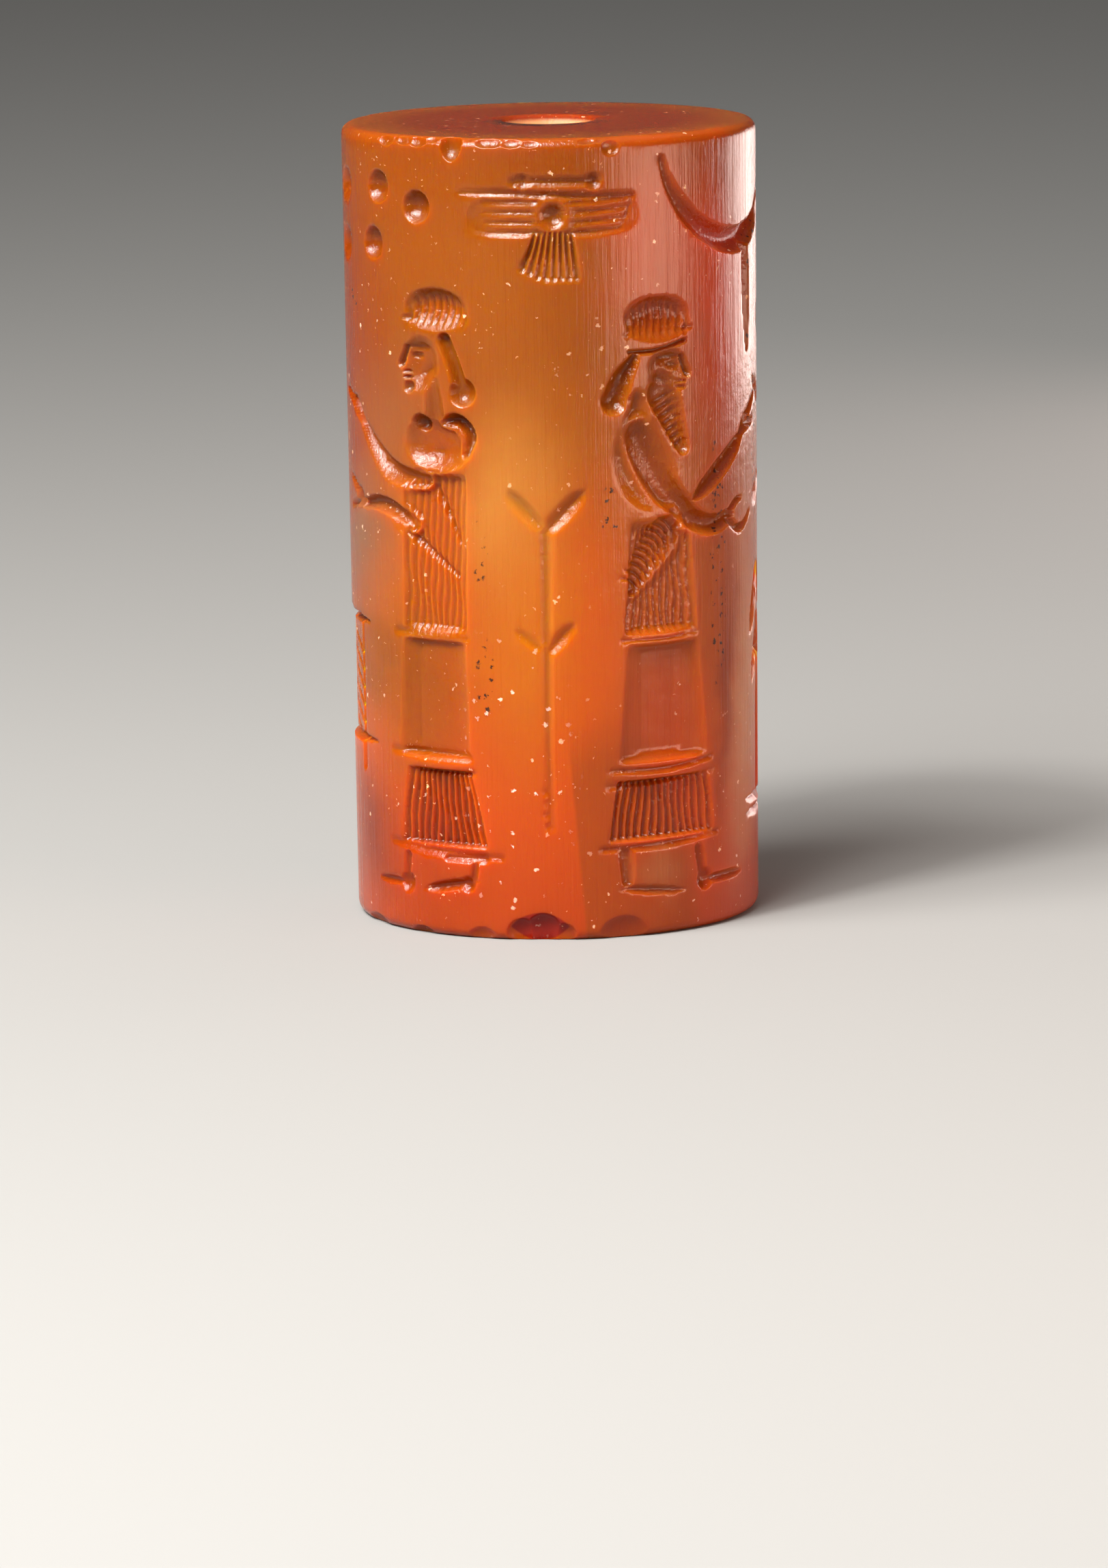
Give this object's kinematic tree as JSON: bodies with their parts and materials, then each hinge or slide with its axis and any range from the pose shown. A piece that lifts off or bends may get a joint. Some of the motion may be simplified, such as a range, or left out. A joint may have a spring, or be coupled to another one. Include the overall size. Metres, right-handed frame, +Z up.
{
  "type": "cylinder seal",
  "caption": "Engraved stone cylinder seal, drilled along its axis for a cord, with worshippers and deities under signs of the sky.",
  "frame": {"origin": "centre of the lower end, on the axis of the cord hole", "axes": "+Z up along the axis of the cord hole, -Y towards the winged disc and the spade standard between the two worshippers"},
  "size_m": [0.0198, 0.0198, 0.038],
  "materials": {
    "carnelian": "polished"
  },
  "bodies": {
    "root": {"seal_stone": "carnelian"}
  },
  "joints": []
}
